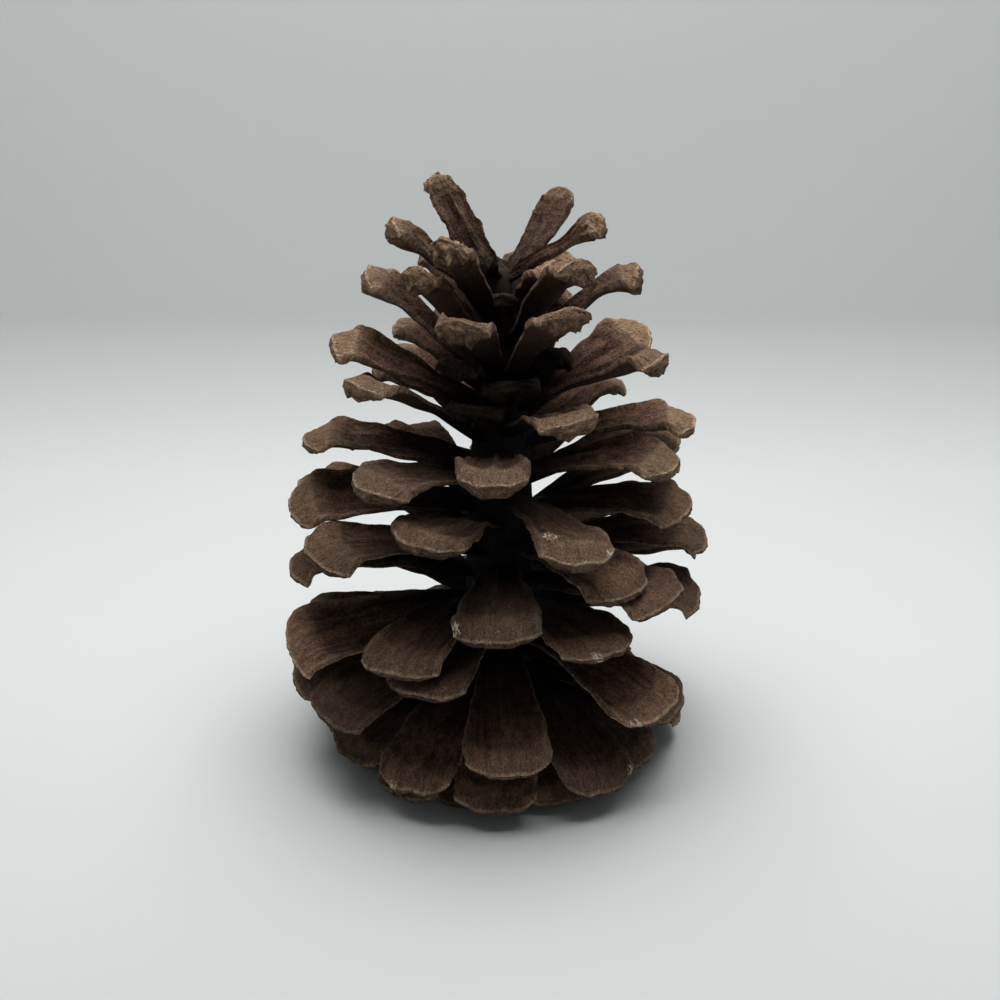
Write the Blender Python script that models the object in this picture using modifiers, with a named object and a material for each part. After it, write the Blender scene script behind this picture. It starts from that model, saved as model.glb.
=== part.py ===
"""An open pine cone, dried and standing on its base, as one woody body.

The woody scales grow from a tapered axis in one spiral, each turned by the golden
angle from the last. They are numbered from the tip of the cone down. The frame has
+Z up the cone's axis, with its origin where the stalk's broken end meets the surface.
"""

import math
import random

import bmesh
import bpy
import numpy as np
from mathutils import Matrix, Vector

# Driving dimensions, in metres and degrees. The tallest warped tip ends a little under HEIGHT.
HEIGHT = 0.150
GOLDEN_ANGLE = 137.508
FIRST_AZIMUTH = 220.0
SCALES = 122

# How the scales change down the cone: each row is one level, numbered by its scale.
# Columns: scale, root height, root radius, tip reach, tip height, width, tip thickness,
# bow of the blade and hook of its end. Lengths are shares of HEIGHT.
LEVELS = np.array(
    [
        (0, 0.830, 0.016, 0.138, 0.966, 0.056, 0.038, 6, 14),
        (15, 0.684, 0.036, 0.210, 0.840, 0.097, 0.036, 10, 22),
        (30, 0.590, 0.046, 0.283, 0.682, 0.112, 0.030, 12, 26),
        (45, 0.462, 0.054, 0.340, 0.510, 0.128, 0.024, 16, 26),
        (60, 0.315, 0.058, 0.357, 0.340, 0.140, 0.021, 24, 26),
        (75, 0.212, 0.058, 0.358, 0.174, 0.142, 0.018, 30, 22),
        (90, 0.135, 0.056, 0.337, 0.055, 0.136, 0.017, 30, 18),
        (104, 0.085, 0.052, 0.292, 0.000, 0.122, 0.016, 20, 14),
        (112, 0.062, 0.046, 0.200, 0.004, 0.092, 0.016, 12, 10),
        (122, 0.045, 0.038, 0.085, 0.012, 0.052, 0.014, 6, 6),
    ]
)
COLUMNS = ("root_height", "root_radius", "reach", "tip_height", "width", "tip_thickness", "bow", "hook")
LENGTH_COLUMNS = 6

# The blade's plan and section, from its root at 0 to its end at 1
STATIONS = (0.0, 0.30, 0.58, 0.80, 0.93, 1.0)
PLAN_AT = (0.0, 0.16, 0.40, 0.66, 0.84, 0.93, 1.0)
PLAN_HALF = (0.40, 0.43, 0.56, 0.78, 0.95, 1.00, 0.70)
BODY_THICKNESS = 0.0026
ROOT_THICKNESS = 0.0030
HOOK_START = 0.80
SHOULDER = 0.45
ROOT_SUNK = 0.0022

# The scales that dried away from the rule: turn, lift and roll in degrees, and share of length
WARPED = {
    0: (0, -20, 0, 0.20),
    1: (-5, -16, 28, 0.91),
    2: (7, 4, -26, 0.97),
    3: (0, -50, 0, 0.18),
    4: (1, -5, 6, 1.00),
    5: (0, -8, -10, 0.97),
    6: (-5, -5, 0, 0.55),
    7: (0, 0, 0, 0.40),
    8: (2, -1, 0, 0.98),
    9: (10, -4, 0, 0.62),
    10: (-8, 0, 0, 0.72),
    11: (15, -3, -4, 1.00),
    12: (0, 0, 0, 0.72),
    13: (14, 1, 6, 0.90),
    14: (12, -7, 6, 1.00),
    15: (0, 0, 0, 0.88),
    16: (-5, -11, -3, 1.00),
    17: (10, -3, 0, 0.62),
    18: (0, 1, -8, 0.98),
    19: (-16, 1, 3, 1.00),
    20: (0, -8, 0, 0.80),
    21: (0, 0, 0, 0.35),
    22: (10, -6, 0, 0.34),
    23: (0, -8, 0, 0.74),
    24: (0, 0, 0, 0.30),
    25: (0, 0, 0, 0.85),
    26: (-8, -3, -16, 1.00),
    27: (8, -3, -6, 0.99),
    29: (0, 0, 0, 0.30),
    30: (0, 4, 13, 0.97),
    31: (0, 1, 0, 0.70),
    32: (-5, 0, 3, 0.92),
    34: (-6, 11, 5, 0.95),
    35: (6, -11, 6, 1.01),
    37: (0, -5, 2, 1.00),
    38: (0, -1, 0, 0.88),
    39: (0, -7, -4, 0.98),
    40: (14, -4, 8, 0.93),
    42: (-4, 2, -8, 1.00),
    43: (0, 0, 6, 0.91),
    44: (0, -4, 0, 0.80),
    45: (4, -9, -8, 1.00),
    46: (0, 0, 0, 0.90),
    47: (-12, -7, -17, 1.01),
    48: (0, -2, 8, 0.92),
    49: (8, 0, 0, 0.95),
    50: (-6, 7, -6, 1.04),
    52: (0, 2, 0, 1.00),
    53: (0, -7, 4, 0.90),
    55: (-8, 4, -6, 1.03),
    56: (0, -3, 6, 0.98),
    58: (-6, -2, 4, 1.00),
    59: (0, -6, 0, 0.85),
    60: (0, 0, 0, 1.00),
    61: (-8, 4, 6, 0.97),
    63: (0, -5, 4, 1.00),
    64: (0, 2, -1, 1.00),
    66: (3, 6, 3, 0.95),
    68: (-12, -6, -22, 1.04),
    69: (0, 10, 8, 0.95),
    71: (-13, 7, 0, 1.00),
    74: (0, -3, 6, 1.01),
    76: (-10, -2, -6, 1.04),
    77: (0, -22, 0, 0.80),
    79: (-11, -3, 2, 1.00),
    81: (0, 6, -8, 1.03),
    82: (0, -1, 0, 0.93),
    84: (-6, -6, 5, 1.00),
    85: (0, -12, 0, 0.85),
    87: (-3, -4, -3, 1.00),
    89: (0, 0, 0, 0.95),
    90: (0, -3, 2, 0.95),
    92: (-2, 0, 0, 1.00),
    94: (0, 0, 0, 0.92),
    95: (0, 0, 0, 0.90),
    97: (0, 0, 0, 0.94),
    100: (0, 2, 0, 0.93),
    102: (0, 0, 0, 0.90),
    103: (0, 0, 0, 0.90),
    105: (0, 0, 0, 0.92),
}


def smooth(value):
    """Eases from 0 to 1."""
    value = min(1.0, max(0.0, value))
    return value * value * (3 - 2 * value)


def level(number):
    """The sizes of one scale, read from a smooth curve through the levels."""
    rows = LEVELS[:, 0]
    place = int(np.clip(np.searchsorted(rows, number, side="right") - 1, 0, len(rows) - 2))
    before, after = max(place - 1, 0), min(place + 2, len(rows) - 1)
    span = rows[place + 1] - rows[place]
    share = (number - rows[place]) / span
    low, high = LEVELS[place, 1:], LEVELS[place + 1, 1:]
    low_slope = (high - LEVELS[before, 1:]) / (rows[place + 1] - rows[before]) * span
    high_slope = (LEVELS[after, 1:] - low) / (rows[after] - rows[place]) * span
    squared, cubed = share**2, share**3
    value = (
        (2 * cubed - 3 * squared + 1) * low
        + (cubed - 2 * squared + share) * low_slope
        + (3 * squared - 2 * cubed) * high
        + (cubed - squared) * high_slope
    )
    value[:LENGTH_COLUMNS] *= HEIGHT
    return dict(zip(COLUMNS, value))


def centre_line(bow, hook, steps=40):
    """(along, up, heading) down the blade's middle, for a chord of length 1 along +X."""
    along, up, line = 0.0, 0.0, []
    for step in range(steps + 1):
        share = step / steps
        eased = smooth((share - HOOK_START) / (1 - HOOK_START))
        heading = math.radians(bow * (0.5 - share) - hook * eased)
        line.append((along, up, heading))
        along += math.cos(heading) / steps
        up += math.sin(heading) / steps
    along, up = line[-1][:2]
    chord, tilt = math.hypot(along, up), math.atan2(up, along)
    turned = []
    for x, z, heading in line:
        turned.append(
            (
                (x * math.cos(tilt) + z * math.sin(tilt)) / chord,
                (z * math.cos(tilt) - x * math.sin(tilt)) / chord,
                heading - tilt,
            )
        )
    return np.array(turned)


def scale_mesh(size, length):
    """One scale as a six-sided bar, cut at its stations and shaped to the blade."""
    shape = bmesh.new()
    bmesh.ops.create_cone(
        shape, cap_ends=True, segments=6, radius1=1.0, radius2=1.0, depth=1.0
    )
    bmesh.ops.rotate(shape, verts=shape.verts, matrix=Matrix.Rotation(math.radians(30), 3, "Z"))
    for cut in STATIONS[1:-1]:
        bmesh.ops.bisect_plane(
            shape,
            geom=shape.verts[:] + shape.edges[:] + shape.faces[:],
            plane_co=(0, 0, cut - 0.5),
            plane_no=(0, 0, 1),
        )
    line = centre_line(size["bow"], size["hook"])
    shares = np.linspace(0, 1, len(line))
    half_width = size["width"] / 2
    for vert in shape.verts:
        share = vert.co.z + 0.5
        side = vert.co.x
        face = 0.0 if abs(vert.co.y) < 0.1 else math.copysign(1.0, vert.co.y)
        across = half_width * np.interp(share, PLAN_AT, PLAN_HALF)
        across *= math.copysign(1.0 if face == 0.0 else SHOULDER, side)
        body = np.interp(share, (0, 0.25), (ROOT_THICKNESS, BODY_THICKNESS))
        thick = body + (size["tip_thickness"] - body) * smooth((share - 0.62) / 0.3)
        along, up, heading = (np.interp(share, shares, line[:, axis]) for axis in range(3))
        offset = face * thick / 2
        vert.co = (
            along * length - math.sin(heading) * offset,
            across,
            up * length + math.cos(heading) * offset,
        )
    mesh = bpy.data.meshes.new("scale")
    shape.to_mesh(mesh)
    shape.free()
    return mesh


def scale_object(number, collection):
    """One scale at its place on the axis."""
    size = level(number)
    draw = random.Random(number)
    turn = draw.uniform(-3, 3)
    lift = draw.uniform(-2, 2)
    roll = draw.uniform(-7, 7)
    share = draw.uniform(0.97, 1.03)
    if number in WARPED:
        turn, lift, roll, share = WARPED[number]
    azimuth = math.radians(FIRST_AZIMUTH + GOLDEN_ANGLE * number + turn)
    outward = size["reach"] - size["root_radius"]
    upward = size["tip_height"] - size["root_height"]
    pitch = math.atan2(upward, outward) + math.radians(lift)
    length = math.hypot(outward, upward) * share + ROOT_SUNK
    root = Vector((size["root_radius"] - ROOT_SUNK * math.cos(pitch), 0, 0))
    scale = bpy.data.objects.new(f"scale_{number:03d}", scale_mesh(size, length))
    collection.objects.link(scale)
    place = Matrix.Translation((0, 0, size["root_height"]))
    scale.matrix_world = (
        place
        @ Matrix.Rotation(azimuth, 4, "Z")
        @ Matrix.Translation(root)
        @ Matrix.Rotation(-pitch, 4, "Y")
        @ Matrix.Rotation(math.radians(roll), 4, "X")
    )
    return scale


def axis_object(collection):
    """The woody axis, turned from its pointed top to the stalk's broken end."""
    profile = [(0.0, 0.850), (0.016, 0.838)]
    profile += [(row[2], row[1]) for row in LEVELS[1:-1]]
    profile += [(0.036, 0.040), (0.030, 0.014), (0.029, 0.0), (0.0, 0.0)]
    mesh = bpy.data.meshes.new("axis")
    points = [(radius * HEIGHT, 0, height * HEIGHT) for radius, height in profile]
    edges = [(index, index + 1) for index in range(len(points) - 1)]
    mesh.from_pydata(points, edges, [])
    axis = bpy.data.objects.new("pine_cone", mesh)
    collection.objects.link(axis)
    screw = axis.modifiers.new("turned", "SCREW")
    screw.steps = screw.render_steps = 12
    screw.use_merge_vertices = True
    screw.merge_threshold = 0.0001
    return axis


def ground_cutter(collection):
    """A block below the ground, which trims the lowest tips to small flats."""
    depth, span = HEIGHT, 3 * HEIGHT
    bpy.ops.mesh.primitive_cube_add(size=1, location=(0, 0, -depth / 2), scale=(span, span, depth))
    block = bpy.context.object
    block.name = "ground_cut"
    block.hide_render = True
    block.display_type = "WIRE"
    bpy.context.collection.objects.unlink(block)
    collection.objects.link(block)
    return block


def apply_modifiers(obj):
    """Gives the object the mesh that its modifiers make."""
    bpy.context.view_layer.update()
    graph = bpy.context.evaluated_depsgraph_get()
    mesh = bpy.data.meshes.new_from_object(obj.evaluated_get(graph))
    obj.modifiers.clear()
    obj.data = mesh


def join_scales(axis, scales, ground):
    """Fuses every scale to the axis and trims the whole at the ground."""
    apply_modifiers(axis)
    join = axis.modifiers.new("scales", "BOOLEAN")
    join.operation = "UNION"
    join.operand_type = "COLLECTION"
    join.collection = scales
    join.solver = "EXACT"
    trim = axis.modifiers.new("ground", "BOOLEAN")
    trim.operation = "DIFFERENCE"
    trim.object = ground
    trim.solver = "EXACT"
    apply_modifiers(axis)
    for scale in list(scales.objects):
        bpy.data.objects.remove(scale)
    bpy.data.collections.remove(scales)


def woody_material():
    """Dull dark brown wood."""
    wood = bpy.data.materials.new("cone_wood")
    wood.use_nodes = True
    shader = wood.node_tree.nodes["Principled BSDF"]
    shader.inputs["Base Color"].default_value = (0.085, 0.050, 0.034, 1)
    shader.inputs["Roughness"].default_value = 0.82
    shader.inputs["Metallic"].default_value = 0.0
    return wood


def main():
    for obj in list(bpy.data.objects):
        bpy.data.objects.remove(obj)
    cone, scales, cutters = (
        bpy.data.collections.new(name) for name in ("pine_cone", "scales", "cutters")
    )
    for collection in (cone, scales, cutters):
        bpy.context.scene.collection.children.link(collection)
    axis = axis_object(cone)
    for number in range(SCALES):
        scale_object(number, scales)
    join_scales(axis, scales, ground_cutter(cutters))
    axis.data.materials.clear()
    axis.data.materials.append(woody_material())
    print("pine_cone:", len(axis.data.polygons), "faces")


main()
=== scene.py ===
"""Finished looks of an open, dried pine cone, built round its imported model.

The cone is 122 woody scales in one spiral, numbered from the tip of the cone down, on a
tapered axis. Each scale is a copy of one blank, shaped to its own size, bow and hook, with
the troughs, folds, keel and ragged margin of the real ones. Lengths are in metres and angles
in degrees. +Z runs up the axis, and -Y faces the camera.
"""

import logging
import math
import random
from collections.abc import Callable
from dataclasses import dataclass, field
from enum import Enum

import bmesh
import bpy
import numpy as np
from mathutils import Matrix, Vector, noise


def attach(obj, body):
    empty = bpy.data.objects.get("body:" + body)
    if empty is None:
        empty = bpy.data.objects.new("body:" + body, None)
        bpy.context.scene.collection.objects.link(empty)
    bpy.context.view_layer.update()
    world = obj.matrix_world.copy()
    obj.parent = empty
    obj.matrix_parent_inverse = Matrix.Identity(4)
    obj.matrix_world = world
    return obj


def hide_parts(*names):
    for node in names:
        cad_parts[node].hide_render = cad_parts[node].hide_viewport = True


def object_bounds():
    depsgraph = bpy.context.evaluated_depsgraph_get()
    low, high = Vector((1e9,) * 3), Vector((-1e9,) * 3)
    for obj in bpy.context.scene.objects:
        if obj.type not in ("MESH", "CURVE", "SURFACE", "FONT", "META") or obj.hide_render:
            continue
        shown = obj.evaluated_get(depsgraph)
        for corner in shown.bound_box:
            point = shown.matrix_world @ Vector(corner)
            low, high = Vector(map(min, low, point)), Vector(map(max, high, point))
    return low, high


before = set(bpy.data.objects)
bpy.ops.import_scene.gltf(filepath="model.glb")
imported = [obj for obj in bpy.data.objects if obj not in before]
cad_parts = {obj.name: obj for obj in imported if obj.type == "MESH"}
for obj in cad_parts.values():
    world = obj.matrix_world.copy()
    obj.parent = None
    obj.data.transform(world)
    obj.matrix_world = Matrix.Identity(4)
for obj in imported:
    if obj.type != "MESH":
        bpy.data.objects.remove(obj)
CAD_LOW, CAD_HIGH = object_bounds()

LOG = logging.getLogger("pine_cone")
BODY = "root"
NODE = "pine_cone"

# Driving dimensions, the same as the solid's
HEIGHT = 0.150
GOLDEN_ANGLE = 137.508
FIRST_AZIMUTH = 220.0

# How the scales change down the cone: each row is one level, numbered by its scale.
# Columns: scale, root height, root radius, tip reach, tip height, width, tip thickness,
# bow of the blade and hook of its end. Lengths are shares of HEIGHT.
LEVELS = np.array(
    [
        (0, 0.830, 0.016, 0.138, 0.966, 0.056, 0.038, 6, 14),
        (15, 0.684, 0.036, 0.210, 0.840, 0.097, 0.036, 10, 22),
        (30, 0.590, 0.046, 0.283, 0.682, 0.112, 0.030, 12, 26),
        (45, 0.462, 0.054, 0.340, 0.510, 0.128, 0.024, 16, 26),
        (60, 0.315, 0.058, 0.357, 0.340, 0.140, 0.021, 24, 26),
        (75, 0.212, 0.058, 0.358, 0.174, 0.142, 0.018, 30, 22),
        (90, 0.135, 0.056, 0.337, 0.055, 0.136, 0.017, 30, 18),
        (104, 0.085, 0.052, 0.292, 0.000, 0.122, 0.016, 20, 14),
        (112, 0.062, 0.046, 0.200, 0.004, 0.092, 0.016, 12, 10),
        (122, 0.045, 0.038, 0.085, 0.012, 0.052, 0.014, 6, 6),
    ]
)

# The blade's plan, from its root at 0 to its end at 1, and its thicknesses
PLAN_AT = (0.0, 0.16, 0.40, 0.66, 0.84, 0.93, 1.0)
PLAN_HALF = (0.44, 0.50, 0.65, 0.85, 0.97, 1.00, 0.97)
STRAP_AT = (0.0, 0.20, 0.50, 0.78, 0.90, 1.0)
STRAP_HALF = (0.50, 0.78, 0.94, 0.92, 0.84, 0.74)
BODY_THICKNESS = 0.0021
ROOT_THICKNESS = 0.0030
HOOK_START = 0.80
ROOT_SUNK = 0.0022
FOLD_HEIGHT = 0.00075

# The ends of the axis, which no scale grows from: rows of height and radius, as shares of HEIGHT
AXIS_FOOT = [(0.0, 0.029), (0.014, 0.030), (0.040, 0.036)]
AXIS_TOP = [(0.838, 0.016), (0.850, 0.004)]

# What sets the random patterns of one scale apart from those of the next
SHAPE_SEED = 1000
GRAIN_SHIFT = 0.37
LUMP_SHIFT = 1.7

# Scales shorter than this share stay tucked among the others; their wood is painted near black as
# shade
TUCKED_SHARE = 0.50
TUCKED_SHADE = 0.12


@dataclass(frozen=True)
class Warp:
    """How one scale dried away from the rule.

    Attributes:
        turn: turn round the axis.
        lift: rise of the tip.
        roll: turn about the blade's own length.
        share: its length as a share of the rule's.
    """

    turn: float = 0
    lift: float = 0
    roll: float = 0
    share: float = 1.0


WARPED = {
    0: Warp(0, -20, 0, 0.20),
    1: Warp(-5, -16, 28, 0.91),
    2: Warp(7, 4, -26, 0.97),
    3: Warp(0, -50, 0, 0.18),
    4: Warp(1, -5, 6),
    5: Warp(0, -8, -10, 0.97),
    6: Warp(-5, -5, 0, 0.55),
    7: Warp(share=0.40),
    8: Warp(2, -1, 0, 0.98),
    9: Warp(10, -4, 0, 0.62),
    10: Warp(-8, 0, 0, 0.72),
    11: Warp(15, -3, -4),
    12: Warp(share=0.72),
    13: Warp(14, 1, 6, 0.90),
    14: Warp(12, -7, 6),
    15: Warp(share=0.88),
    16: Warp(-5, -11, -3),
    17: Warp(10, -3, 0, 0.62),
    18: Warp(0, 1, -8, 0.98),
    19: Warp(-16, 1, 3),
    20: Warp(0, -8, 0, 0.80),
    21: Warp(share=0.35),
    22: Warp(10, -6, 0, 0.34),
    23: Warp(0, -8, 0, 0.74),
    24: Warp(share=0.30),
    25: Warp(share=0.85),
    26: Warp(-8, -3, -16),
    27: Warp(8, -3, -6, 0.99),
    29: Warp(share=0.30),
    30: Warp(0, 4, 13, 0.97),
    31: Warp(0, 1, 0, 0.70),
    32: Warp(-5, 0, 3, 0.92),
    34: Warp(-6, 11, 5, 0.95),
    35: Warp(6, -11, 6, 1.01),
    37: Warp(0, -5, 2),
    38: Warp(0, -1, 0, 0.88),
    39: Warp(0, -7, -4, 0.98),
    40: Warp(14, -4, 8, 0.93),
    42: Warp(-4, 2, -8),
    43: Warp(0, 0, 6, 0.91),
    44: Warp(0, -4, 0, 0.80),
    45: Warp(4, -9, -8),
    46: Warp(share=0.90),
    47: Warp(-12, -7, -17, 1.01),
    48: Warp(0, -2, 8, 0.92),
    49: Warp(8, 0, 0, 0.95),
    50: Warp(-6, 7, -6, 1.04),
    52: Warp(0, 2, 0),
    53: Warp(0, -7, 4, 0.90),
    55: Warp(-8, 4, -6, 1.03),
    56: Warp(0, -3, 6, 0.98),
    58: Warp(-6, -2, 4),
    59: Warp(0, -6, 0, 0.85),
    60: Warp(share=1.00),
    61: Warp(-8, 4, 6, 0.97),
    63: Warp(0, -5, 4),
    64: Warp(0, 2, -1),
    66: Warp(3, 6, 3, 0.95),
    68: Warp(-12, -6, -22, 1.04),
    69: Warp(0, 10, 8, 0.95),
    71: Warp(-13, 7, 0),
    74: Warp(0, -3, 6, 1.01),
    76: Warp(-10, -2, -6, 1.04),
    77: Warp(0, -22, 0, 0.80),
    79: Warp(-11, -3, 2),
    81: Warp(0, 6, -8, 1.03),
    82: Warp(0, -1, 0, 0.93),
    84: Warp(-6, -6, 5),
    85: Warp(0, -12, 0, 0.85),
    87: Warp(-3, -4, -3),
    89: Warp(share=0.95),
    90: Warp(0, -3, 2, 0.95),
    92: Warp(-2, 0, 0),
    94: Warp(share=0.92),
    95: Warp(share=0.90),
    97: Warp(share=0.94),
    100: Warp(0, 2, 0, 0.93),
    102: Warp(share=0.90),
    103: Warp(share=0.90),
    105: Warp(share=0.92),
}


@dataclass(frozen=True)
class Resin:
    """A spot of dried resin on a scale.

    Attributes:
        along: its place, as a share of the blade's length.
        across: its place, from -1 at one side to 1 at the other.
        radius: its size, as a share of the half-width.
    """

    along: float
    across: float
    radius: float


@dataclass(frozen=True)
class Relief:
    """How one scale's surface dried.

    Attributes:
        roundness: how far the corners of the end lie behind its middle, as a share of length.
        corner: how sharp those corners are, 2 being a plain arc.
        cup: how far the sides rise over the middle, as a share of the half-width.
        droop: how far the corners of the end hang, as a share of the half-width.
        ragged: how uneven the end's lower margin is, as a share of its thickness.
        crumple: height of the lumps on the end.
        nicks: depth of the notches in the sides, as a share of the half-width.
        trough: depth of the two seed troughs.
        ridge: height of the ridge between them.
        strap: how far the sides run parallel, from 0 to 1.
        slim: the blade's width before its end, as a share of the usual.
        skin: height of the crosswise wrinkles on the upper face.
        resin: its resin spots.
    """

    roundness: float = 0.06
    corner: float = 3.0
    cup: float = 0.05
    droop: float = 0.08
    ragged: float = 0.30
    crumple: float = 0.00030
    nicks: float = 0.03
    trough: float = 0.00035
    ridge: float = 0.00030
    strap: float = 0.0
    slim: float = 1.0
    skin: float = 0.0
    resin: tuple[Resin, ...] = ()


RELIEFS = {
    1: Relief(0.03, 3, 0.10, 0.10, 0.30, 0.0010, strap=0.3, slim=0.62),
    2: Relief(0.03, 3, 0.10, 0.10, 0.50, 0.0014, 0.09, 0.0006, 0.0010, strap=1.0),
    4: Relief(
        0.06, 3, 0.08, 0.05, 0.30, 0.0004, 0.03, 0.0001, 0.0003, strap=0.6, skin=0.00035
    ),
    8: Relief(0.05, 2.5, 0.15, 0.10, 0.60, 0.0011, 0.05),
    11: Relief(0.05, 3, 0.20, 0.05, 0.55, 0.0005, 0.04),
    13: Relief(0.06, 2.5, 0.10, 0.15, 0.50, 0.0007, 0.05),
    16: Relief(0.08, 2.2, 0.34, 0.10, 0.45, 0.0004),
    19: Relief(0.03, 3, 0.14, 0.05, 0.50, 0.0005),
    37: Relief(0.13, 2.2, 0.34, 0.12, 0.26, 0.0004, 0.02),
    42: Relief(0.12, 2.2, 0.10, 0.14, 0.36, 0.0004, 0.03),
    45: Relief(0.11, 2.6, 0.05, 0.05, resin=(Resin(0.80, -0.60, 0.22), Resin(0.93, 0.8, 0.16))),
    50: Relief(0.13, 2.2, 0.10, 0.14, 0.30, 0.0004, 0.03),
    58: Relief(0.08, 3, 0.02, 0.10, resin=(Resin(0.90, -0.95, 0.16), Resin(0.94, 0.1, 0.10))),
    66: Relief(0.08, 3, 0.02, 0.05, resin=(Resin(0.985, -0.2, 0.14),)),
    74: Relief(0.07, 3, 0.02, 0.02, trough=0.0007, ridge=0.0005, resin=(Resin(0.97, -0.75, 0.2),)),
    79: Relief(0.07, 3, 0.02, 0.05, 0.20, trough=0.0004),
    84: Relief(0.07, 3, 0.02, 0.06, resin=(Resin(0.985, -0.5, 0.12),)),
    87: Relief(0.08, 3, 0.02, 0.05, resin=(Resin(0.93, 0.95, 0.2),)),
}


# How light the wood of these scales is, 1 being the usual: partly their own tone and partly painted
# light and shade for how they are lit
TONES_AND_PAINTED_LIGHT = {
    4: 0.70,
    16: 0.62,
    18: 1.10,
    30: 1.25,
    35: 1.25,
    37: 0.75,
    40: 1.15,
    42: 0.78,
    43: 1.15,
    48: 1.15,
    49: 0.70,
    50: 0.80,
    58: 0.75,
    68: 1.60,
    71: 0.75,
    74: 1.60,
    76: 0.55,
    79: 1.20,
    84: 1.10,
    87: 0.85,
    89: 0.75,
}


class Band(Enum):
    """The pieces that the spiral is cut into: piece name, first scale and last scale."""

    CROWN = ("scales_crown", 0, 20)
    SHOULDER = ("scales_shoulder", 21, 41)
    UPPER_MIDDLE = ("scales_upper_middle", 42, 62)
    LOWER_MIDDLE = ("scales_lower_middle", 63, 83)
    SKIRT = ("scales_skirt", 84, 104)
    BASE = ("scales_base", 105, 121)

    @property
    def piece(self) -> str:
        """The piece's name."""
        return self.value[0]

    @property
    def numbers(self) -> range:
        """The numbers of its scales."""
        return range(self.value[1], self.value[2] + 1)


def smooth(value: np.ndarray | float) -> np.ndarray:
    """Eases from 0 to 1.

    Args:
        value: where to read the curve, clipped to 0 and 1.

    Returns:
        The eased value.
    """
    value = np.clip(value, 0.0, 1.0)
    return value * value * (3 - 2 * value)


def ripple(at: np.ndarray, draw: random.Random, waves: int = 4) -> np.ndarray:
    """An uneven line, made of a few sine waves of falling height.

    Args:
        at: where to read it, 1 being the longest wave.
        draw: the seeded draw of the waves' phases.
        waves: how many waves it has.

    Returns:
        Its height, mostly between -1 and 1.
    """
    height = np.zeros_like(at)
    for wave in range(waves):
        pitch = 1.9**wave * draw.uniform(0.85, 1.15)
        height += np.sin(2 * math.pi * (pitch * at + draw.random())) * 0.62**wave
    return height / 1.6


def deselect_all() -> None:
    """Leaves object mode with nothing selected."""
    if bpy.context.object and bpy.context.object.mode != "OBJECT":
        bpy.ops.object.mode_set(mode="OBJECT")
    bpy.ops.object.select_all(action="DESELECT")


def select_alone(obj: bpy.types.Object) -> None:
    """Makes an object the only selected one, and the active one.

    Args:
        obj: the object.
    """
    deselect_all()
    obj.select_set(True)
    bpy.context.view_layer.objects.active = obj


def pick(obj: bpy.types.Object, kind: str, chosen: Callable[..., bool]) -> None:
    """Selects only the edges or faces of an edited mesh that pass a test.

    Args:
        obj: the object, in edit mode.
        kind: EDGE or FACE.
        chosen: the test.
    """
    bpy.ops.mesh.select_mode(type=kind)
    bpy.ops.mesh.select_all(action="DESELECT")
    shape = bmesh.from_edit_mesh(obj.data)
    for part in shape.edges if kind == "EDGE" else shape.faces:
        part.select_set(chosen(part))
    bmesh.update_edit_mesh(obj.data)


def cut_rings(obj: bpy.types.Object, rings: int) -> None:
    """Cuts a bar that stands along Z into rings of equal height.

    Args:
        obj: the bar, which is selected and active.
        rings: how many rings.
    """
    bpy.ops.object.mode_set(mode="EDIT")
    pick(obj, "EDGE", lambda edge: abs(edge.verts[0].co.z - edge.verts[1].co.z) > 0.5)
    bpy.ops.mesh.subdivide(number_cuts=rings - 1)
    bpy.ops.object.mode_set(mode="OBJECT")


def cap_rings(obj: bpy.types.Object, rings: int) -> None:
    """Insets a unit bar's upper end into rings that close on its centre.

    Args:
        obj: the bar, which is selected and active.
        rings: how many rings.
    """
    bpy.ops.object.mode_set(mode="EDIT")
    pick(obj, "FACE", lambda face: face.normal.z > 0.9)
    for _ in range(rings - 1):
        bpy.ops.mesh.inset(thickness=1 / rings)
    bpy.ops.mesh.poke()
    bpy.ops.object.mode_set(mode="OBJECT")


def coordinates(mesh: bpy.types.Mesh) -> np.ndarray:
    """A mesh's vertex places.

    Args:
        mesh: the mesh.

    Returns:
        One row of x, y and z for each vertex.
    """
    places = np.zeros(len(mesh.vertices) * 3, np.float32)
    mesh.vertices.foreach_get("co", places)
    return places.reshape(-1, 3).astype(float)


def place_vertices(mesh: bpy.types.Mesh, places: np.ndarray) -> None:
    """Moves a mesh's vertices.

    Args:
        mesh: the mesh.
        places: one row of x, y and z for each vertex.
    """
    mesh.vertices.foreach_set("co", places.astype(np.float32).ravel())
    mesh.update()


def write_attribute(mesh: bpy.types.Mesh, name: str, values: np.ndarray) -> None:
    """Stores one number or vector for each vertex, for the materials to read.

    Args:
        mesh: the mesh.
        name: the attribute's name.
        values: one number, or one row of three, for each vertex.
    """
    vector = values.ndim == 2
    made = mesh.attributes.new(name, "FLOAT_VECTOR" if vector else "FLOAT", "POINT")
    made.data.foreach_set("vector" if vector else "value", values.astype(np.float32).ravel())


@dataclass
class ScaleBlank:
    """The unit bar that every scale is shaped from: radius 1, from -0.5 to 0.5 along Z.

    Attributes:
        sides: points round its section.
        stations: rings along it.
        end_rings: rings on its outer end.
        mesh: the finished bar, once it is built.
    """

    sides: int = 48
    stations: int = 60
    end_rings: int = 9
    mesh: bpy.types.Mesh | None = None

    def build(self) -> None:
        """Models the bar and keeps its mesh."""
        deselect_all()
        bpy.ops.mesh.primitive_cylinder_add(vertices=self.sides, radius=1, depth=1)
        bar = bpy.context.object
        cut_rings(bar, self.stations)
        cap_rings(bar, self.end_rings)
        self.mesh = bar.data
        bpy.data.objects.remove(bar)


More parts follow.
